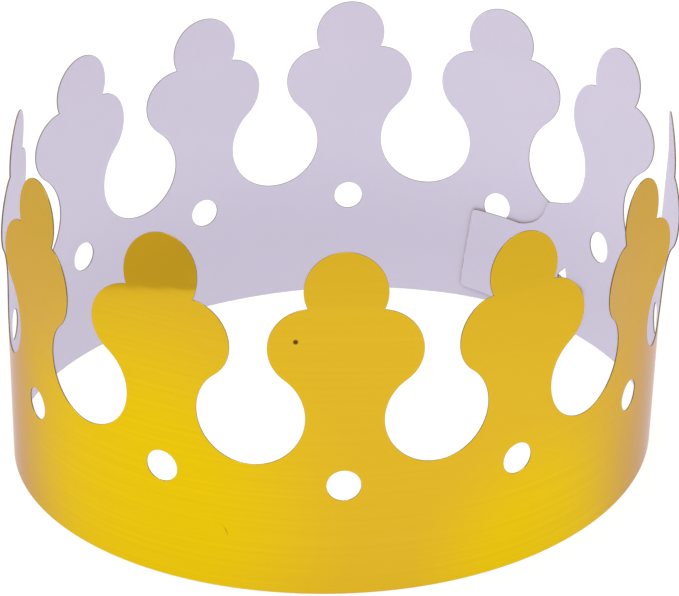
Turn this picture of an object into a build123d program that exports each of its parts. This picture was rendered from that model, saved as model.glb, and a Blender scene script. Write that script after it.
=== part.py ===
from build123d import *
import os
from math import atan2, ceil, cos, degrees, hypot, pi, radians, sin, sqrt, tan

# A party crown: one strip of foil-faced card, die-cut along its top into twelve trefoil points
# with a round hole under each, bent into a ring and closed by its own two ends. The inner end
# is a long tongue that lies against the inside of the other end. The outer end stops behind it
# and sends a small tab inwards through a slit in the inner end.
# +Z is up, the lower rim stands on z = 0 and the origin is the middle of the ring. Distances
# along the card start at the middle of the back (+Y) and grow towards +X.

# Driving dimensions of the strip, in millimetres
point_count = 12
point_pitch = 49.3        # from the middle of one point to the middle of the next
seam_pitch = 43.1         # the same, from the last point to the first, across the overlap
last_point_at = 51.1      # place of the last point, on the outer end of the strip
card_thickness = 0.4
layer_gap = 0.3           # air between the two layers of the overlap

# Shape of the ring seen from above: shares of its mean radius, and where each is greatest
oval_share = 0.0479
oval_turn = radians(51.4)
egg_share = 0.0099
egg_turn = radians(29.3)

# Cut outline: a band, and on it the points, with a round valley between each two
band_height = 39.0        # from the lower rim to the bottom of a valley
neck_half_width = 10.3
side_lobe_radius = 11.1
side_lobe_out = 9.0       # from the middle of the point to the middle of a side lobe
top_lobe_radius = 10.8
top_lobe_rise = 15.7      # from the side lobes' middles up to the top lobe's
hole_radius = 4.55
hole_drop = 5.3           # from the bottom of a valley down to the middle of a hole

# Inner end: a shoulder in the valley beside its point, then the tongue
shoulder_turn = -48.0            # degrees round the valley where the outline leaves it
shoulder_knee = (6.2, 2.5)       # right of the valley's middle, above its bottom
shoulder_rise = 1.1              # the shoulder's corner, above the valley's bottom
shoulder_hollow = (3.0, 5.2)     # left of the valley's middle, below its bottom
tongue_root = 10.0               # from the valley's middle to where the tongue's top begins
tongue_root_drop = 8.4           # from the bottom of a valley down to the tongue's top there
tongue_tip_drop = 7.1            # the same at its tip
tongue_top_length = 17.0
tongue_reach = 29.6              # from the valley's middle to the tongue's lower corner
tongue_corner_height = 4.0
tongue_lower_edge = 24.0         # length over which the lower edge comes down to the rim
tongue_rounding = 1.5

# Outer end: a tab that goes inwards through the slit
tab_low = 7.0
tab_high = 17.5
tab_length = 12.5
tab_rounding = 3.0
tab_clearance = 0.2
slit_width = 4.0
slit_over = 0.8                  # the slit is spread this far over the tab, then closes
slit_closed = 3.9                # and it ends in a point this far over the tab
slit_under = 1.0                 # it goes on this far under the tab
slit_lean = 0.4

# How the model is built
cut_depth = 12.0          # cutting prisms reach this far inside and outside the card
cut_over = 5.0            # and this far above the points
cut_roof = 18.0           # degrees: the waste of a valley ends under this slope from the notch
cut_floor = 6.0           # degrees: the waste round a top lobe starts over this slope
cut_overlap = 1.0         # the waste of one top lobe reaches this far past the next one's
spare_card = 2.0          # card beyond the tongue and the tab, before they are cut to shape
ring_spots = 72           # places that the ring's plan is drawn through
station_step = 7.0        # spacing of the places that the card's faces are drawn through
tab_step = 0.4            # the same in the tab, which bends sharply

perimeter = (point_count - 1) * point_pitch + seam_pitch
half_pitch = point_pitch / 2
half_card = card_thickness / 2
layer_shift = (card_thickness + layer_gap) / 2
first_point_at = last_point_at + seam_pitch
outer_edge_at = last_point_at + half_pitch
first_valley_at = first_point_at - half_pitch


def ring_curve():
    """Plan of the card's middle surface, scaled to the strip's length and set on the origin."""
    spots = []
    for step in range(ring_spots):
        turn = 2 * pi * step / ring_spots
        oval = oval_share * cos(2 * (turn - oval_turn))
        egg = egg_share * cos(3 * (turn - egg_turn))
        reach = 1 + oval + egg
        spots.append((reach * sin(turn), reach * cos(turn)))
    curve = Spline(*spots, periodic=True)
    curve = curve.scale(perimeter / curve.length)
    return curve.moved(Location(-curve.bounding_box().center()))


ring_line = ring_curve()


def heading_at(along):
    """Direction of travel along the card, seen from above."""
    return ring_line.tangent_at(along % perimeter, position_mode=PositionMode.LENGTH)


def on_ring(along, out=0.0):
    """A place along the card, and so far outside its middle surface."""
    spot = ring_line.position_at(along % perimeter, position_mode=PositionMode.LENGTH)
    heading = heading_at(along)
    return spot + Vector(-heading.Y, heading.X) * out


def square_on(along):
    """A distance along the curved card as it looks in the flat plane that touches it."""
    bend_radius = perimeter / (2 * pi)
    return bend_radius * sin(along / bend_radius)


def ease(share):
    """Smooth step from 0 to 1."""
    share = min(max(share, 0.0), 1.0)
    return share * share * (3 - 2 * share)


def upright_card(start, end, shift, step=station_step):
    """Card of full height between two places, moved outwards by shift(place)."""
    count = ceil((end - start) / step)
    places = [start + (end - start) * i / count for i in range(count + 1)]
    outside = Spline(*[on_ring(place, shift(place) + half_card) for place in places])
    inside = Spline(*[on_ring(place, shift(place) - half_card) for place in places])
    ends = [Line(outside @ 0, inside @ 0), Line(outside @ 1, inside @ 1)]
    return extrude(make_face([outside, inside, *ends]), point_height)


def through_card(along, outline):
    """Prism of a flat outline, square through the card at a place along it."""
    plane = Plane(origin=on_ring(along), x_dir=heading_at(along),
                  z_dir=heading_at(along).cross(Vector(0, 0, 1)))
    return extrude(plane * make_face(outline), cut_depth, both=True)


def turn_to(centre, spot):
    """Direction from one spot to another, in degrees."""
    step = Vector(spot) - Vector(centre)
    return degrees(atan2(step.Y, step.X))


def lobe_rise():
    """Height of the side lobes over a valley's middle, where they touch its round."""
    across = square_on(half_pitch - side_lobe_out)
    return sqrt((valley_radius + side_lobe_radius) ** 2 - across ** 2)


def notch():
    """Corner between top lobe and side lobe, right of the point's middle."""
    apart = hypot(side_lobe_out, top_lobe_rise)
    along = (top_lobe_radius ** 2 - side_lobe_radius ** 2 + apart ** 2) / (2 * apart)
    aside = sqrt(top_lobe_radius ** 2 - along ** 2)
    right = (along * side_lobe_out + aside * top_lobe_rise) / apart
    return right, top_lobe_height - (along * top_lobe_rise - aside * side_lobe_out) / apart


valley_radius = square_on(half_pitch - neck_half_width)
valley_height = band_height + valley_radius
side_lobe_height = valley_height + lobe_rise()
top_lobe_height = side_lobe_height + top_lobe_rise
point_height = top_lobe_height + top_lobe_radius
cut_top = point_height + cut_over
notch_out, notch_height = notch()
roof_height = notch_height + half_pitch * tan(radians(cut_roof))
floor_height = notch_height + half_pitch * tan(radians(cut_floor))


def valley_side(side, lowest_turn):
    """Edges of a valley's right (1) or left (-1) side, from low on its round up to the notch."""
    lobe = (side * square_on(half_pitch - side_lobe_out), side_lobe_height)
    top = (side * square_on(half_pitch - notch_out), notch_height)
    middle = (0.0, valley_height)
    touch = turn_to(middle, lobe)
    low = lowest_turn if side > 0 else 180 - lowest_turn
    round_part = CenterArc(middle, valley_radius, low, touch - low)
    lobe_start = turn_to(lobe, round_part @ 1)
    swing = (turn_to(lobe, top) - lobe_start) % 360
    lobe_part = CenterArc(lobe, side_lobe_radius, lobe_start, swing if side < 0 else swing - 360)
    return [round_part, lobe_part]


def valley_waste():
    """What is cut out between two points, up to the notches of their top lobes."""
    right = valley_side(1, -90.0)
    left = valley_side(-1, -90.0)
    ridge = (0.0, roof_height)
    return [*right, Line(right[1] @ 1, ridge), Line(ridge, left[1] @ 1), *left]


def top_waste():
    """What is cut away round the top lobe of one point."""
    wide = half_pitch + cut_overlap
    start = turn_to((0.0, top_lobe_height), (notch_out, notch_height))
    lobe = CenterArc((0.0, top_lobe_height), top_lobe_radius, start, 180 - 2 * start)
    rest = Polyline(lobe @ 1, (-wide, floor_height), (-wide, cut_top), (wide, cut_top),
                    (wide, floor_height), lobe @ 0)
    return [lobe, rest]


def inner_end_waste():
    """What is cut away beside and round the tongue, left of the first point."""
    side = valley_side(1, shoulder_turn)
    shoulder = (0.0, band_height + shoulder_rise)
    knee = (shoulder_knee[0], band_height + shoulder_knee[1])
    hollow = (-shoulder_hollow[0], band_height - shoulder_hollow[1])
    root = (-tongue_root, band_height - tongue_root_drop)
    tip = (-tongue_root - tongue_top_length, band_height - tongue_tip_drop)
    corner = (-tongue_reach, tongue_corner_height)
    slope = tongue_corner_height / tongue_lower_edge
    below = (-tongue_reach + tongue_lower_edge + cut_overlap / slope, -cut_overlap)
    left = -tongue_reach - cut_over
    edge = FilletPolyline(root, tip, corner, below, radius=tongue_rounding)
    rest = Polyline(below, (left, -cut_overlap), (left, cut_top), (0.0, cut_top), (0.0, roof_height),
                    side[1] @ 1)
    return [*side, Polyline(side[0] @ 0, knee, shoulder), ThreePointArc(shoulder, hollow, root),
            edge, rest]


def slit_waste():
    """The slit in the inner end, spread by the tab; its left side starts at the outer edge."""
    left = tab_clearance
    right = left + slit_width
    low = tab_low - slit_under
    spread = tab_high + slit_over
    return [Polyline((left, low), (left + slit_lean, spread),
                     (right - 2 * slit_lean, tab_high + slit_closed), (right, spread), (right, low),
                     (left, low))]


def tab_outline():
    """The tab seen square-on, from behind the outer edge to its rounded end."""
    corners = [(-cut_over, tab_low), (tab_length, tab_low), (tab_length, tab_high),
               (-cut_over, tab_high)]
    return [FilletPolyline(*corners, radius=tab_rounding), Line(corners[3], corners[0])]


def hole_at(along):
    """Round hole under a point."""
    middle = Location((0.0, band_height - hole_drop))
    return through_card(along, [Circle(hole_radius).edge().moved(middle)])


def cut_points(card, places):
    """Cut the top lobe and the hole of the point at each place."""
    cutters = []
    for place in places:
        cutters.append(through_card(place, top_waste()))
        cutters.append(hole_at(place))
    return card - cutters


def inner_shift(along):
    """The inner end lies inside the ring's line until it has passed the tab."""
    clear = outer_edge_at + tab_length
    end = first_point_at + half_pitch
    return -layer_shift * (1 - ease((along - clear) / (end - clear)))


def outer_shift(along):
    """The outer end moves outside the ring's line before it meets the tongue."""
    start = last_point_at - half_pitch
    meets = first_valley_at - tongue_reach
    return layer_shift * ease((along - start) / (meets - start))


def tab_shift(along):
    """The tab starts level with the outer end and passes two layers' steps inwards."""
    share = (along - outer_edge_at - tab_clearance) / (slit_width - tab_clearance)
    return layer_shift - 2 * (card_thickness + layer_gap) * ease(share)


def inner_end():
    """The first point, the tongue and the slit."""
    end = first_point_at + half_pitch
    card = upright_card(first_valley_at - tongue_reach - spare_card, end, inner_shift)
    card = cut_points(card, [first_point_at])
    return card - [through_card(first_valley_at, inner_end_waste()),
                   through_card(end, valley_waste()),
                   through_card(outer_edge_at, slit_waste())]


def middle_run():
    """All points but the first and the last, between two valley middles."""
    start = first_point_at + half_pitch
    count = point_count - 2
    card = upright_card(start, start + count * point_pitch, lambda along: 0.0)
    card = cut_points(card, [start + half_pitch + i * point_pitch for i in range(count)])
    return card - [through_card(start + i * point_pitch, valley_waste()) for i in range(count + 1)]


def outer_end():
    """The last point and the card up to the outer edge."""
    start = last_point_at - half_pitch
    card = upright_card(start, outer_edge_at, outer_shift)
    card = cut_points(card, [last_point_at])
    return card - [through_card(start, valley_waste()),
                   through_card(outer_edge_at, valley_waste())]


def tab():
    """The tab on the outer edge."""
    card = upright_card(outer_edge_at, outer_edge_at + tab_length + spare_card, tab_shift, tab_step)
    return card & through_card(outer_edge_at, tab_outline())


crown = inner_end() + middle_run() + outer_end() + tab()

os.makedirs("parts", exist_ok=True)
export_step(crown, "parts/crown_strip.step")
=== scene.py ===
import math

import bpy
import numpy as np
from mathutils import Matrix, Vector
from mathutils.geometry import delaunay_2d_cdt


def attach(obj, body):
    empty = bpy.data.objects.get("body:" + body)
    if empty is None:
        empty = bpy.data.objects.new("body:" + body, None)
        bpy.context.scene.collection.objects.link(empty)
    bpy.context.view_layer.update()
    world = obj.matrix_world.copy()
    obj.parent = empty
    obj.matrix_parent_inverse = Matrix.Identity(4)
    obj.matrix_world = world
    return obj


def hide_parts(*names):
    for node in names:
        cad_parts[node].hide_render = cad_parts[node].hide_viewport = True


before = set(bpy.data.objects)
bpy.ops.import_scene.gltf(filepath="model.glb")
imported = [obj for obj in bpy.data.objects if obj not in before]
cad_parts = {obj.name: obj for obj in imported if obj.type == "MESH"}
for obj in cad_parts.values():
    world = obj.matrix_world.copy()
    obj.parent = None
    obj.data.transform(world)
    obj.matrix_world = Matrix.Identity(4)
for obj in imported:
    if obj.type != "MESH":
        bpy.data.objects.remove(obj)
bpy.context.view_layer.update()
MM = 0.001

# The strip: one die-cut length of thin card, gold foil on the outside and bare card inside.
# Twelve trefoil points stand on its band, each over a round punched hole. Its own two ends
# close it: a long tongue inside, and a small tab that goes in through a slit.
pitch = 49.3
half_pitch = pitch / 2
seam_pitch = 43.1
last_point_at = 51.1
first_point_at = last_point_at + seam_pitch
point_count = 12
girth = (point_count - 1) * pitch + seam_pitch
outer_edge_at = last_point_at + half_pitch
first_valley_at = first_point_at - half_pitch
card_thickness = 0.4
layer_gap = 0.3
layer_shift = (card_thickness + layer_gap) / 2

band_height = 39.0
neck_half_width = 10.3
side_lobe_radius = 11.1
side_lobe_out = 9.0
top_lobe_radius = 10.8
top_lobe_rise = 15.7
hole_radius = 4.55
hole_drop = 5.3
outline_step = 0.9
sheet_step = 1.9
outline_clearance = 0.75 * outline_step

valley_radius = half_pitch - neck_half_width
valley_height = band_height + valley_radius
lobe_across = half_pitch - side_lobe_out
side_lobe_height = valley_height + math.sqrt(
    (valley_radius + side_lobe_radius) ** 2 - lobe_across**2
)
top_lobe_height = side_lobe_height + top_lobe_rise
point_height = top_lobe_height + top_lobe_radius


def arc(middle, radius, start, end):
    """Places along an arc from one direction to another, in degrees."""
    count = max(2, math.ceil(abs(math.radians(end - start)) * radius / outline_step))
    turns = np.radians(np.linspace(start, end, count + 1))
    return [
        (middle[0] + radius * math.cos(turn), middle[1] + radius * math.sin(turn))
        for turn in turns
    ]


def run(*corners):
    """Places along straight lines through the corners."""
    spots = [corners[0]]
    for start, end in zip(corners, corners[1:]):
        count = max(1, math.ceil(math.dist(start, end) / outline_step))
        for step in range(1, count + 1):
            share = step / count
            spots.append(
                (
                    start[0] + (end[0] - start[0]) * share,
                    start[1] + (end[1] - start[1]) * share,
                )
            )
    return spots


def direction(middle, spot):
    """Direction from one spot to another, in degrees."""
    return math.degrees(math.atan2(spot[1] - middle[1], spot[0] - middle[0]))


def notch():
    """Corner between top lobe and side lobe, right of the point's middle."""
    apart = math.hypot(side_lobe_out, top_lobe_rise)
    along = (top_lobe_radius**2 - side_lobe_radius**2 + apart**2) / (2 * apart)
    aside = math.sqrt(top_lobe_radius**2 - along**2)
    out = (along * side_lobe_out + aside * top_lobe_rise) / apart
    return out, top_lobe_height - (along * top_lobe_rise - aside * side_lobe_out) / apart


def right_side(lowest_turn=-90.0):
    """Right side of a point, from low in the valley beside it up to its notch."""
    middle = (half_pitch, valley_height)
    lobe = (side_lobe_out, side_lobe_height)
    touch = direction(middle, lobe)
    lowest = -180 - lowest_turn
    round_part = arc(middle, valley_radius, lowest, touch - 360)
    return round_part + arc(lobe, side_lobe_radius, touch - 180, direction(lobe, notch()))[1:]


def mirrored(spots):
    """Spots on the other side of the point, in the turned order."""
    return [(-x, z) for x, z in reversed(spots)]


def top_lobe():
    """Round of the top lobe from its right notch to its left one."""
    start = direction((0, top_lobe_height), notch())
    return arc((0, top_lobe_height), top_lobe_radius, start, 180 - start)[1:-1]


def closed_round(middle, radius):
    """A full circle, with no spot twice."""
    return arc(middle, radius, 0, 360)[:-1]


def rounded(corners, radius):
    """Corners joined by lines, with each inner corner rounded."""
    spots = [corners[0]]
    for before, corner, after in zip(corners, corners[1:], corners[2:]):
        into = Vector(corner) - Vector(before)
        away = Vector(after) - Vector(corner)
        bend = into.angle_signed(away)
        cut = radius * math.tan(abs(bend) / 2)
        start = Vector(corner) - into.normalized() * cut
        end = Vector(corner) + away.normalized() * cut
        for share in (0.0, 0.25, 0.5, 0.75, 1.0):
            near = start.lerp(Vector(corner), share)
            far = Vector(corner).lerp(end, share)
            spots.append(tuple(near.lerp(far, share)))
    return spots + [corners[-1]]


# The flat blank. Each piece of it is an outline round one point: a plain one for the ten middle
# points, one with the shoulder, tongue and slit, and one with the cut end and its tab.
joint_right = run((half_pitch, 0.0), (half_pitch, band_height))
joint_left = mirrored(joint_right)
above_band = right_side() + top_lobe() + mirrored(right_side())
plain_outline = run((-half_pitch, 0.0), (half_pitch, 0.0))[:-1] + joint_right[:-1]
plain_outline += above_band + joint_left[1:-1]

tab_low = 7.0
tab_high = 17.5
tab_length = 12.5
tab_rounding = 3.0
slit_left = 0.2
slit_right = 4.2
slit_low = 6.0
slit_spread = 18.3
slit_top = 21.4
slit_lean = 0.4
tongue_root = 10.0
tongue_root_height = band_height - 8.4
tongue_tip_height = band_height - 7.1
tongue_top_length = 17.0
tongue_reach = 29.6
tongue_corner_height = 4.0
tongue_lower_edge = 24.0
tongue_rounding = 1.5
shoulder_turn = -48.0
shoulder_knee = (6.2, band_height + 2.5)
shoulder = (0.0, band_height + 1.1)
hollow = (-3.0, band_height - 5.2)


def from_valley(spots):
    """Places measured from the valley left of a point, seen from the point's middle."""
    return [(x - half_pitch, z) for x, z in spots]


def hollow_curve():
    """The cut from the shoulder down into the hollow and out to the tongue's root."""
    root = Vector((-tongue_root, tongue_root_height))
    start = Vector(shoulder)
    low = 2 * Vector(hollow) - (start + root) / 2
    shares = np.linspace(0, 1, 16)
    return [
        tuple(start.lerp(low, share).lerp(low.lerp(root, share), share)) for share in shares
    ]


tongue = rounded(
    [
        (-tongue_root, tongue_root_height),
        (-tongue_root - tongue_top_length, tongue_tip_height),
        (-tongue_reach, tongue_corner_height),
        (-tongue_reach + tongue_lower_edge, 0.0),
    ],
    tongue_rounding,
)
left_of_first = mirrored(right_side(shoulder_turn))
first_outline = run((-tongue_reach + tongue_lower_edge - half_pitch, 0.0), (half_pitch, 0.0))[:-1]
first_outline += joint_right[:-1] + right_side() + top_lobe() + left_of_first
first_outline += from_valley(run(shoulder_knee, shoulder)[:-1] + hollow_curve()[:-1])
first_outline += from_valley(run(*tongue)[:-1])
slit = [
    (slit_left, slit_low),
    (slit_right, slit_low),
    (slit_right, slit_spread),
    (slit_right - 2 * slit_lean, slit_top),
    (slit_left + slit_lean, slit_spread),
]
slit = [(x + outer_edge_at - first_point_at, z) for x, z in run(*slit, slit[0])[:-1]]

tab = rounded(
    [
        (half_pitch, tab_low),
        (half_pitch + tab_length, tab_low),
        (half_pitch + tab_length, tab_high),
        (half_pitch, tab_high),
    ],
    tab_rounding,
)
last_outline = run((-half_pitch, 0.0), (half_pitch, 0.0), (half_pitch, tab_low))[:-1]
last_outline += run(*tab)[:-1] + run((half_pitch, tab_high), (half_pitch, band_height))[:-1]
last_outline += above_band + joint_left[1:-1]
hole = closed_round((0.0, band_height - hole_drop), hole_radius)


def inside(outline, spots):
    """Which spots lie inside an outline."""
    x, z = spots[:, 0], spots[:, 1]
    found = np.zeros(len(spots), bool)
    for (x0, z0), (x1, z1) in zip(outline, outline[1:] + outline[:1]):
        if z0 != z1:
            crosses = (z0 > z) != (z1 > z)
            found ^= crosses & (x < (x1 - x0) * (z - z0) / (z1 - z0) + x0)
    return found


def near_outline(outline, spots, reach):
    """Which spots lie within a reach of an outline's own spots."""
    gap = np.full(len(spots), np.inf)
    for spot in np.array(outline):
        gap = np.minimum(gap, np.hypot(*(spots - spot).T))
    return gap < reach


def cut_sheet(outline, cutouts, fine=None):
    """Triangles that fill an outline round its cutouts, as flat places and triples."""
    low, high = np.min(outline, axis=0), np.max(outline, axis=0)
    rows = np.arange(low[1], high[1], sheet_step * math.sqrt(3) / 2)
    spots = [
        (x + (row % 2) * sheet_step / 2, z)
        for row, z in enumerate(rows)
        for x in np.arange(low[0], high[0], sheet_step)
    ]
    if fine:
        spots += [(x, z) for x in np.arange(*fine[0]) for z in np.arange(*fine[1])]
    spots = np.array(spots)
    keep = inside(outline, spots) & ~near_outline(outline, spots, outline_clearance)
    for cutout in cutouts:
        keep &= ~inside(cutout, spots) & ~near_outline(cutout, spots, outline_clearance)
    spots = [Vector(spot) for spot in spots[keep]]
    edges = []
    for loop in [outline, *cutouts]:
        first = len(spots)
        spots += [Vector(spot) for spot in loop]
        edges += [(first + i, first + (i + 1) % len(loop)) for i in range(len(loop))]
    spots, _, faces, *_ = delaunay_2d_cdt(spots, edges, [], 0, 1e-6)
    places = np.array([tuple(spot) for spot in spots])
    faces = np.array([list(face) for face in faces])
    middles = places[faces].mean(axis=1)
    kept = inside(outline, middles)
    for cutout in cutouts:
        kept &= ~inside(cutout, middles)
    return places, faces[kept]


# How the blank stands: bent into a slightly oval ring, its two ends just clear of each other
# where they overlap. Each point springs flat above its neck, and leans, sways and twists a little
# on its own.
oval_share = 0.0479
oval_turn = math.radians(51.4)
egg_share = 0.0099
egg_turn = math.radians(29.3)
plan_turns = np.linspace(0, 2 * math.pi, 7201)


def plan(turn):
    """Reach of the ring in a direction from its middle, and how fast that grows."""
    oval, egg = 2 * (turn - oval_turn), 3 * (turn - egg_turn)
    reach = 1 + oval_share * np.cos(oval) + egg_share * np.cos(egg)
    growth = -2 * oval_share * np.sin(oval) - 3 * egg_share * np.sin(egg)
    return reach, growth


plan_reach, _ = plan(plan_turns)
plan_line = plan_reach[:, None] * np.stack([np.sin(plan_turns), np.cos(plan_turns)], axis=1)
steps = np.hypot(*np.diff(plan_line, axis=0).T)
plan_length = np.concatenate([[0], np.cumsum(steps)])
ring_scale = girth / plan_length[-1]
plan_length *= ring_scale
plan_middle = ring_scale * (plan_line.min(axis=0) + plan_line.max(axis=0)) / 2


def on_ring(along):
    """Place, heading and outward direction on the ring, for distances along the card."""
    turn = np.interp(np.mod(along, girth), plan_length, plan_turns)
    reach, growth = plan(turn)
    out = np.stack([np.sin(turn), np.cos(turn)], axis=-1)
    side = np.stack([np.cos(turn), -np.sin(turn)], axis=-1)
    spot = ring_scale * reach[..., None] * out - plan_middle
    heading = growth[..., None] * out + reach[..., None] * side
    heading /= np.linalg.norm(heading, axis=-1, keepdims=True)
    return spot, heading, np.stack([-heading[..., 1], heading[..., 0]], axis=-1)


def ease(share):
    """Smooth step from 0 to 1."""
    share = np.clip(share, 0, 1)
    return share * share * (3 - 2 * share)


def inner_shift(along):
    """The inner end lies inside the ring's line until it has passed the tab."""
    clear = outer_edge_at + tab_length
    end = first_point_at + half_pitch
    return -layer_shift * (1 - ease((along - clear) / (end - clear)))


def near_place(along, middle, spread):
    """1 at a place on the card, fading along it on both sides."""
    gap = np.mod(along - middle + girth / 2, girth) - girth / 2
    return np.exp(-((gap / spread) ** 2))


def outer_shift(along):
    """The outer end moves outside that line, and its tab steps back in through the slit."""
    start = last_point_at - half_pitch
    meets = first_valley_at - tongue_reach
    level = layer_shift * ease((along - start) / (meets - start))
    share = (along - outer_edge_at - slit_left) / (slit_right - 2 * slit_left)
    return level - 2 * (card_thickness + layer_gap) * ease(share)


class Point:
    """One point of the crown: where it stands and how it has sprung, in mm and degrees."""

    def __init__(self, lean=0.0, sway=0.0, twist=0.0, flat=1.0, nod=0.0, bend=84.0, crease=0.0):
        self.lean = lean
        self.sway = sway
        self.twist = math.radians(twist)
        self.flat = flat
        self.nod = nod
        self.bend = bend
        self.crease = crease


# From the one beside the tongue's slit, round the front, to the one over the tab. Leans are
# outward at the tip, sways are along the card, and a nod turns the top lobe alone above its
# bend. The sixth has been bent back by hand, along a crease that slopes.
points = [
    Point(lean=0, sway=3.8, twist=1, flat=1.3, nod=0.4),
    Point(lean=0.5, sway=3.4, twist=-1, flat=1.8, nod=-1.3),
    Point(lean=0.8, sway=2.0, twist=-0.5, flat=1.3, nod=-0.6),
    Point(lean=-0.9, sway=0.9, twist=0.4, flat=1.1, nod=-0.5),
    Point(lean=-1.8, sway=0.3, twist=-1.7, flat=0.8, nod=-0.7),
    Point(lean=-0.6, sway=0.5, twist=0.4, flat=1.0, nod=-2.7, bend=85.2, crease=-0.22),
    Point(lean=-2.5, sway=0.3, twist=-1.4, flat=1.0, nod=-0.4),
    Point(lean=-3.7, sway=1.7, twist=0, flat=1.1, nod=0),
    Point(lean=-1.3, sway=0.2, twist=-1.5, flat=1.2, nod=-0.4),
    Point(lean=-1.5, sway=0, twist=0.3, flat=1.4, nod=0.4),
    Point(lean=1.5, sway=-0.2, twist=2.6, flat=1.4, nod=-0.3),
    Point(lean=3.1, sway=-2.9, twist=2.6, flat=0.9, nod=-1.3),
]
spring_from = band_height + 1
spring_rise = 23
twist_rise = 27
lean_power = 1.4
soft_bend = 0.004
firm_bend = 0.25

# The hooked joint holds the card beside it a little high and pushes the last point outwards,
# and the lower rim doesn't quite sit down at the front right.
joint_lift = 1.65
joint_lift_spread = 42
joint_lift_from = 24
joint_lift_rise = 22
joint_push = 1.1
joint_push_spread = 32
joint_push_from = 5
joint_push_rise = 45
rim_lift = 0.38
rim_lift_at = 235
rim_lift_spread = 120
rim_lift_ends = 30


def stand_up(point, middle_at, shift, flat_places):
    """Places in the room of flat places on one point's piece of the card, in mm."""
    x, z = flat_places.T
    along = middle_at + x
    spot, _, out = on_ring(along)
    spot = spot + out * shift(along)[:, None]
    foot, heading, outward = on_ring(np.array(middle_at))
    foot = foot + outward * shift(np.array(middle_at))
    tangent = foot + x[:, None] * heading
    flat = point.flat * ease((z - spring_from) / spring_rise)
    spot = spot + flat[:, None] * (tangent - spot)
    turn = point.twist * ease((z - spring_from) / twist_rise)
    side, depth = (spot - foot) @ heading, (spot - foot) @ outward
    side, depth = (
        side * np.cos(turn) - depth * np.sin(turn),
        side * np.sin(turn) + depth * np.cos(turn),
    )
    above = np.clip(z - band_height, 0, None)
    share = (above / (point_height - band_height)) ** lean_power
    side = side + point.sway * share
    bend_at = point.bend + point.crease * x
    nod = (z - bend_at) / (point_height - bend_at)
    nod = (nod + np.sqrt(nod**2 + soft_bend)) / 2
    nod = nod * (1 + firm_bend - firm_bend * nod)
    push = joint_push * near_place(along, last_point_at, joint_push_spread)
    pushed = push * ease((z - joint_push_from) / joint_push_rise)
    depth = depth + point.lean * share + point.nod * nod + pushed
    drop = 0.5 * (point.lean * share) ** 2 / np.maximum(above, 5)
    joint = joint_lift * near_place(along, first_point_at, joint_lift_spread)
    rim_off = rim_lift * near_place(along, rim_lift_at, rim_lift_spread)
    lift = joint * ease((z - joint_lift_from) / joint_lift_rise)
    lift = lift + rim_off * (1 - ease(z / rim_lift_ends))
    flat_spot = foot + side[:, None] * heading + depth[:, None] * outward
    return np.column_stack([flat_spot, z - drop + lift])


def surface(point, middle_at, shift, flat_places):
    """Places, and the directions along the card, up the card and out of it."""
    nudge = 0.05
    right = stand_up(point, middle_at, shift, flat_places + (nudge, 0))
    left = stand_up(point, middle_at, shift, flat_places - (nudge, 0))
    over = stand_up(point, middle_at, shift, flat_places + (0, nudge))
    under = stand_up(point, middle_at, shift, flat_places - (0, nudge))
    along = (right - left) / (2 * nudge)
    up = (over - under) / (2 * nudge)
    out = np.cross(up, along)
    out /= np.linalg.norm(out, axis=1, keepdims=True)
    return stand_up(point, middle_at, shift, flat_places), along, up, out


def unit(vectors):
    """Vectors brought to length 1."""
    return vectors / np.maximum(np.linalg.norm(vectors, axis=-1, keepdims=True), 1e-9)


# The sheet is raised once as a middle surface, piece by piece, and joined where pieces meet.
flat_all, spot_all, along_all, up_all, out_all, faces_all = [], [], [], [], [], []
plain_sheet = cut_sheet(plain_outline, [hole])
first_sheet = cut_sheet(first_outline, [hole, slit])
fine_tab = (
    (half_pitch + 0.5, half_pitch + slit_right + 1, 0.5),
    (tab_low + 0.7, tab_high - 0.5, 0.9),
)
last_sheet = cut_sheet(last_outline, [hole], fine_tab)
for index, point in enumerate(points):
    middle_at = first_point_at + index * pitch
    flat_places, faces = plain_sheet
    shift = np.zeros_like
    if index == 0:
        flat_places, faces = first_sheet
        shift = inner_shift
    if index == point_count - 1:
        flat_places, faces = last_sheet
        middle_at = last_point_at
        shift = outer_shift
    spot, along, up, out = surface(point, middle_at, shift, flat_places)
    faces_all.append(faces + sum(map(len, spot_all)))
    flat_all.append(flat_places + (first_point_at + index * pitch, 0))
    spot_all.append(spot)
    along_all.append(along)
    up_all.append(up)
    out_all.append(out)
flat_all, spot_all, along_all, up_all, out_all, faces = map(
    np.concatenate, (flat_all, spot_all, along_all, up_all, out_all, faces_all)
)
_, first_of, joined = np.unique(
    np.round(flat_all, 3), axis=0, return_index=True, return_inverse=True
)
joined = joined.ravel()
flat_all, spot_all, along_all, up_all, out_all = (
    values[first_of] for values in (flat_all, spot_all, along_all, up_all, out_all)
)
faces = joined[faces]

# Two skins and the cut edge between them. The punch rolls the foil a little over the edge, so
# the foil side has a rounded rim, then comes the bare core of the card.
roll = 0.09
half_card = card_thickness / 2
directed = np.concatenate([faces[:, [0, 1]], faces[:, [1, 2]], faces[:, [2, 0]]])
spot_count = len(spot_all)
keys = directed[:, 0] * spot_count + directed[:, 1]
twins = directed[:, 1] * spot_count + directed[:, 0]
rim = directed[~np.isin(keys, twins)]
edge_way = flat_all[rim[:, 1]] - flat_all[rim[:, 0]]
edge_out = unit(np.stack([edge_way[:, 1], -edge_way[:, 0]], axis=1))
flat_out = np.zeros((spot_count, 2))
np.add.at(flat_out, rim[:, 0], edge_out)
np.add.at(flat_out, rim[:, 1], edge_out)
flat_out = unit(flat_out)
on_rim = np.zeros(spot_count, bool)
on_rim[rim] = True
rim_spots = np.flatnonzero(on_rim)
rim_index = np.full(spot_count, -1)
rim_index[rim_spots] = np.arange(len(rim_spots))
side_out = unit(flat_out[:, :1] * along_all + flat_out[:, 1:] * up_all)

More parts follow.
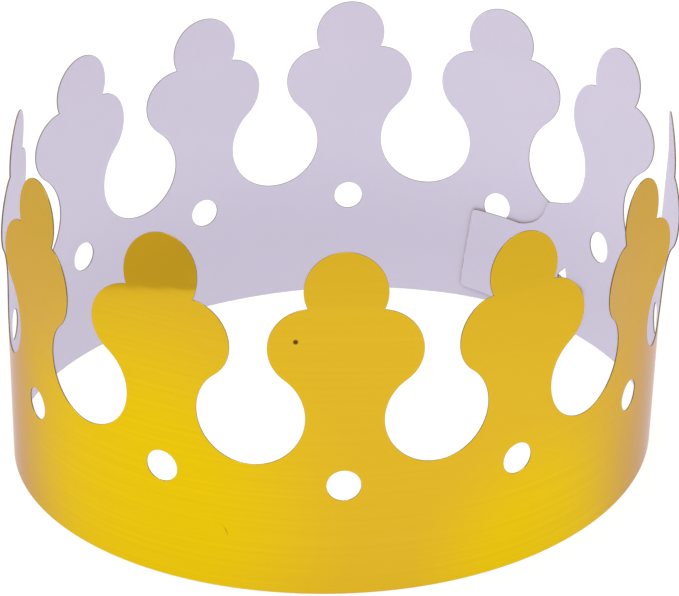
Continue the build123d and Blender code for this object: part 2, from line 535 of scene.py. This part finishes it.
skin = spot_all - side_out * (roll * on_rim)[:, None]
slope = math.sqrt(0.5)
rows = [
    (skin + out_all * half_card, out_all),
    (
        (spot_all - side_out * roll * (1 - slope) + out_all * (half_card - roll * (1 - slope)))[
            rim_spots
        ],
        unit(side_out + out_all)[rim_spots],
    ),
    ((spot_all + out_all * (half_card - roll))[rim_spots], side_out[rim_spots]),
    ((spot_all - out_all * (half_card - roll))[rim_spots], side_out[rim_spots]),
    (skin - out_all * half_card, -out_all),
]
starts = np.cumsum([0] + [len(row[0]) for row in rows])
vertices = np.concatenate([row[0] for row in rows]) * MM
rim_a, rim_b = rim_index[rim[:, 0]], rim_index[rim[:, 1]]
bands = [
    (rim[:, 0], rim[:, 1]),
    (rim_a + starts[1], rim_b + starts[1]),
    (rim_a + starts[2], rim_b + starts[2]),
    (rim_a + starts[3], rim_b + starts[3]),
    (rim[:, 0] + starts[4], rim[:, 1] + starts[4]),
]
corner_lists = [list(face) for face in faces[:, ::-1]]
corner_normals = [list(out_all[face]) for face in faces[:, ::-1]]
slots = [0] * len(faces)
corner_lists += [list(face) for face in faces + starts[4]]
corner_normals += [list(-out_all[face]) for face in faces]
slots += [1] * len(faces)
band_normals = [out_all, rows[1][1], rows[2][1], rows[3][1], -out_all]
band_lookup = [rim, *[np.stack([rim_a, rim_b], axis=1)] * 3, rim]
for level, slot in enumerate((0, 0, 2, 2)):
    near, far = bands[level], bands[level + 1]
    quads = np.stack([near[0], near[1], far[1], far[0]], axis=1)
    near_normals = band_normals[level][band_lookup[level]]
    far_normals = band_normals[level + 1][band_lookup[level + 1]]
    if level == 3:
        far_normals = unit(far_normals + near_normals)
    normals = np.stack(
        [near_normals[:, 0], near_normals[:, 1], far_normals[:, 1], far_normals[:, 0]], axis=1
    )
    corner_lists += [list(quad) for quad in quads]
    corner_normals += [list(quad) for quad in normals]
    slots += [slot] * len(quads)

mesh = bpy.data.meshes.new("crown")
mesh.from_pydata(vertices.tolist(), [], [[int(i) for i in face] for face in corner_lists])
flat_of = np.concatenate([flat_all, *[flat_all[rim_spots]] * 3, flat_all])
corner_vertices = np.concatenate([np.array(face) for face in corner_lists])
strip_map = mesh.uv_layers.new(name="strip")
strip_map.uv.foreach_set("vector", (flat_of[corner_vertices] * MM).astype(np.float32).ravel())
mesh.polygons.foreach_set("material_index", slots)
mesh.polygons.foreach_set("use_smooth", [True] * len(mesh.polygons))
mesh.normals_split_custom_set([tuple(n) for face in corner_normals for n in face])
mesh.update()
crown = bpy.data.objects.new("crown", mesh)
bpy.context.scene.collection.objects.link(crown)


class Socket:
    """A value in a material's nodes that can be worked with like a number."""

    def __init__(self, nodes, output):
        self.nodes, self.output = nodes, output

    def math(self, operation, *others):
        return self.nodes.add("ShaderNodeMath", {"operation": operation}, [self, *others])

    def __add__(self, other):
        return self.math("ADD", other)

    def __sub__(self, other):
        return self.math("SUBTRACT", other)

    def __mul__(self, other):
        return self.math("MULTIPLY", other)


class Finish:
    """A material and its nodes."""

    def __init__(self, name):
        self.material = bpy.data.materials.new(name)
        self.material.use_nodes = True
        self.tree = self.material.node_tree
        self.shader = self.tree.nodes["Principled BSDF"]

    def add(self, kind, settings, inputs, output=0):
        """A node of a type, its settings first, then values or links for its sockets."""
        node = self.tree.nodes.new(kind)
        for name, value in settings.items():
            setattr(node, name, value)
        pairs = inputs.items() if isinstance(inputs, dict) else enumerate(inputs)
        for name, value in pairs:
            self.set(node.inputs[name], value)
        return Socket(self, node.outputs[output])

    def set(self, socket, value):
        """Link a worked-out value to a socket, or set a plain one."""
        if isinstance(value, Socket):
            self.tree.links.new(value.output, socket)
        else:
            socket.default_value = value

    def mix(self, share, first, second):
        """A colour between two."""
        return self.add(
            "ShaderNodeMix", {"data_type": "RGBA"}, {0: share, 6: first, 7: second}, 2
        )

    def step(self, value, low, high):
        """0 below low, 1 above high, smooth between."""
        return self.add(
            "ShaderNodeMapRange",
            {"interpolation_type": "SMOOTHSTEP"},
            [value, low, high, 0.0, 1.0],
        )

    def noise(self, place, detail=2.0, rough=0.5):
        """Cloudy noise with one cloud to a unit of the place."""
        return self.add(
            "ShaderNodeTexNoise",
            {"noise_dimensions": "3D"},
            {"Vector": place, "Scale": 1.0, "Detail": detail, "Roughness": rough},
        )

    def stretched(self, place, sizes):
        """A place scaled by a size for each axis."""
        return self.add("ShaderNodeVectorMath", {"operation": "MULTIPLY"}, [place, sizes])

    def gap(self, place, other):
        """Distance between two places."""
        return self.add("ShaderNodeVectorMath", {"operation": "DISTANCE"}, [place, other], "Value")

    def bump(self, height, distance, strength):
        """A normal raised by a height."""
        return self.add(
            "ShaderNodeBump", {}, {"Strength": strength, "Distance": distance, "Height": height}
        )

    def finish(self, **values):
        """Set the shader's sockets and hand over the material."""
        for name, value in values.items():
            self.set(self.shader.inputs[name.replace("_", " ")], value)
        return self.material


def colour(red, green, blue):
    """A colour as a swatch shows it, for the shader."""
    linear = [
        c / 12.92 if c <= 0.04045 else ((c + 0.055) / 1.055) ** 2.4
        for c in (red / 255, green / 255, blue / 255)
    ]
    return (*linear, 1.0)


# Foil: a film of gold lacquer over vacuum-metallised aluminium, pressed on the card. It is
# nearly a mirror, softened by fine lines that run along the strip. Two patches of the band are
# painted brighter and yellower, a painted reflection of brighter light there. It has a small
# dark spot painted as the shade of a tiny crease, and a short curved scratch.
crease_shade_at = (0.3042, 0.0755, 0.0)
scratch_at = (0.3224, 0.0178, 0.0)
scratch_curls_round = (0.3279, 0.0153, 0.0)
scratch_radius = 0.00604
foil = Finish("gold_foil")
on_card = foil.add("ShaderNodeUVMap", {"uv_map": "strip"}, [])
streaks = foil.noise(foil.stretched(on_card, (12.0, 900.0, 1.0)), 3.0)
slow = foil.noise(foil.stretched(on_card, (7.0, 5.0, 1.0)), 1.0)
grain = foil.noise(foil.stretched(on_card, (2500.0, 5000.0, 1.0)))
gold = foil.mix(slow, colour(217, 175, 46), colour(224, 183, 44))
# Painted reflection: two patches of the band brightened to a yellower gold.
for place, size in (((0.347, 0.018, 0.0), 0.065), ((0.232, 0.0, 0.0), 0.045)):
    off_painted_sheen = foil.gap(foil.stretched(on_card, (1.0, 0.9, 0.0)), place)
    gold = foil.mix(foil.step(off_painted_sheen, 0.3 * size, size), colour(232, 197, 8), gold)
gold = foil.mix(streaks * 0.5, gold, colour(212, 172, 20))
# Painted shade: a small dark spot where a tiny crease dents the foil.
off_crease_shade = foil.step(foil.gap(on_card, crease_shade_at), 0.0004, 0.0009)
gold = foil.mix(off_crease_shade, colour(96, 62, 12), gold)
beside_scratch = (foil.gap(on_card, scratch_curls_round) - scratch_radius).math("ABSOLUTE")
off_scratch = foil.step(beside_scratch + foil.gap(on_card, scratch_at) * 0.15, 0.0001, 0.0004)
gold = foil.mix(off_scratch, colour(200, 158, 14), gold)
foil.finish(
    Base_Color=gold,
    Metallic=1.0,
    Roughness=streaks * 0.06 + 0.17,
    Specular_Tint=(0.7, 0.6, 0.72, 1.0),
    Normal=foil.bump(streaks * 0.6 + grain * 0.4, 0.00001, 0.4),
)

# Inner side: bare coated card with a cool lilac cast, matt, with a very fine fibre. The band is
# painted a little greyer than the points, as painted shade low inside the crown.
card = Finish("lilac_card")
on_card = card.add("ShaderNodeUVMap", {"uv_map": "strip"}, [])
fibre = card.noise(card.stretched(on_card, (900.0, 2200.0, 1.0)), 4.0, 0.6)
cloud = card.noise(card.stretched(on_card, (30.0, 45.0, 1.0)))
high = card.add("ShaderNodeSeparateXYZ", {}, [on_card], "Y")
# Painted shade: the card darker low on the band, lighter up the points.
lilac_with_painted_shade = card.mix(card.step(high, 0.015, 0.06), colour(208, 201, 217), colour(225, 218, 234))
lilac_with_painted_shade = card.mix(cloud * 0.3, lilac_with_painted_shade, colour(214, 208, 228))
lilac_with_painted_shade = card.mix(fibre * 0.2, lilac_with_painted_shade, colour(206, 198, 216))
card.finish(
    Base_Color=lilac_with_painted_shade,
    Roughness=fibre * 0.1 + 0.6,
    Normal=card.bump(fibre, 0.00002, 0.5),
)

# Cut edge: the grey-brown core of the card where the die went through, its darkness partly painted
# shade of the thin edge, and painted darker round the front as painted shade.
core = Finish("cut_core")
on_card = core.add("ShaderNodeUVMap", {"uv_map": "strip"}, [])
frayed = core.noise(core.stretched(on_card, (1200.0, 1200.0, 1.0)), 3.0)
front = (0.292, 0.0, 0.0)
off_front = core.gap(core.stretched(on_card, (1.0, 0.0, 0.0)), front)
# Painted shade: the cut edge painted dark brown round the front, grey elsewhere.
edge = core.mix(core.step(off_front, 0.12, 0.16), colour(84, 66, 34), colour(140, 132, 126))
core.finish(
    Base_Color=core.mix(frayed * 0.5, edge, colour(120, 108, 92)),
    Roughness=0.8,
    Normal=core.bump(frayed, 0.00003, 0.6),
)
for finish in (foil, card, core):
    mesh.materials.append(finish.material)
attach(crown, "root")
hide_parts("crown_strip")

# The studio: a pale table that glows in a wide pool round the crown and runs on as the backdrop,
# one soft box overhead and a bright even room.
table = bpy.data.meshes.new("table")
table_half = 6.0
table.from_pydata(
    [
        (-table_half, -table_half, 0),
        (table_half, -table_half, 0),
        (table_half, table_half, 0),
        (-table_half, table_half, 0),
    ],
    [],
    [(0, 1, 2, 3)],
)
floor = bpy.data.objects.new("floor", table)
bpy.context.scene.collection.objects.link(floor)
pale = Finish("pale_table")
on_table = pale.add("ShaderNodeTexCoord", {}, [], "Object")
middle = (0.0, 0.0, 0.0)
far = pale.gap(on_table, middle)
beside = pale.gap(pale.stretched(on_table, (1.0, 0.0, 0.0)), middle)
lit = pale.mix(pale.step(beside, 0.13, 0.3), (0.88, 0.88, 0.88, 1), (0.74, 0.74, 0.74, 1))
lit = pale.mix(pale.step(far, 0.38, 0.62), lit, (0.47, 0.42, 0.37, 1))
pale.finish(
    Base_Color=(0.15, 0.15, 0.15, 1),
    Roughness=0.9,
    Emission_Color=lit,
    Emission_Strength=1.0,
)
table.materials.append(pale.material)

room = bpy.data.worlds.new("room")
room.use_nodes = True
room.node_tree.nodes["Background"].inputs["Color"].default_value = (1.0, 1.0, 1.0, 1.0)
room.node_tree.nodes["Background"].inputs["Strength"].default_value = 0.8
bpy.context.scene.world = room
bpy.context.scene.view_settings.view_transform = "Standard"


def soft_box(name, place, aim, size, power):
    """A rectangular light that faces a place."""
    light = bpy.data.lights.new(name, "AREA")
    light.shape = "RECTANGLE"
    light.size, light.size_y = size
    light.energy = power
    lamp = bpy.data.objects.new(name, light)
    lamp.location = place
    lamp.rotation_euler = (Vector(aim) - Vector(place)).to_track_quat("-Z", "Y").to_euler()
    bpy.context.scene.collection.objects.link(lamp)


soft_box("overhead_box", (-0.15, 0.1, 1.6), (0, 0, 0), (1.6, 1.2), 14.0)

# The camera looks down on the front of the crown.
camera_distance = 0.7216
camera_rise = 0.4657
camera_roll = 0.0202
camera_lens = 131.063
camera_shift = -0.00162
aim_height = 0.0422
camera = bpy.data.objects.new("camera", bpy.data.cameras.new("camera"))
camera.data.sensor_width = 36.0
camera.data.lens = camera_lens
aim = Vector((-plan_middle[0] * MM, -plan_middle[1] * MM, aim_height))
back = Vector((0, -math.cos(camera_rise), math.sin(camera_rise)))
turn = (-back).to_track_quat("-Z", "Y").to_matrix().to_4x4()
camera.matrix_world = (
    Matrix.Translation(aim + back * camera_distance) @ turn @ Matrix.Rotation(camera_roll, 4, "Z")
)
camera.data.shift_x = camera_shift
bpy.context.scene.collection.objects.link(camera)
bpy.context.scene.camera = camera
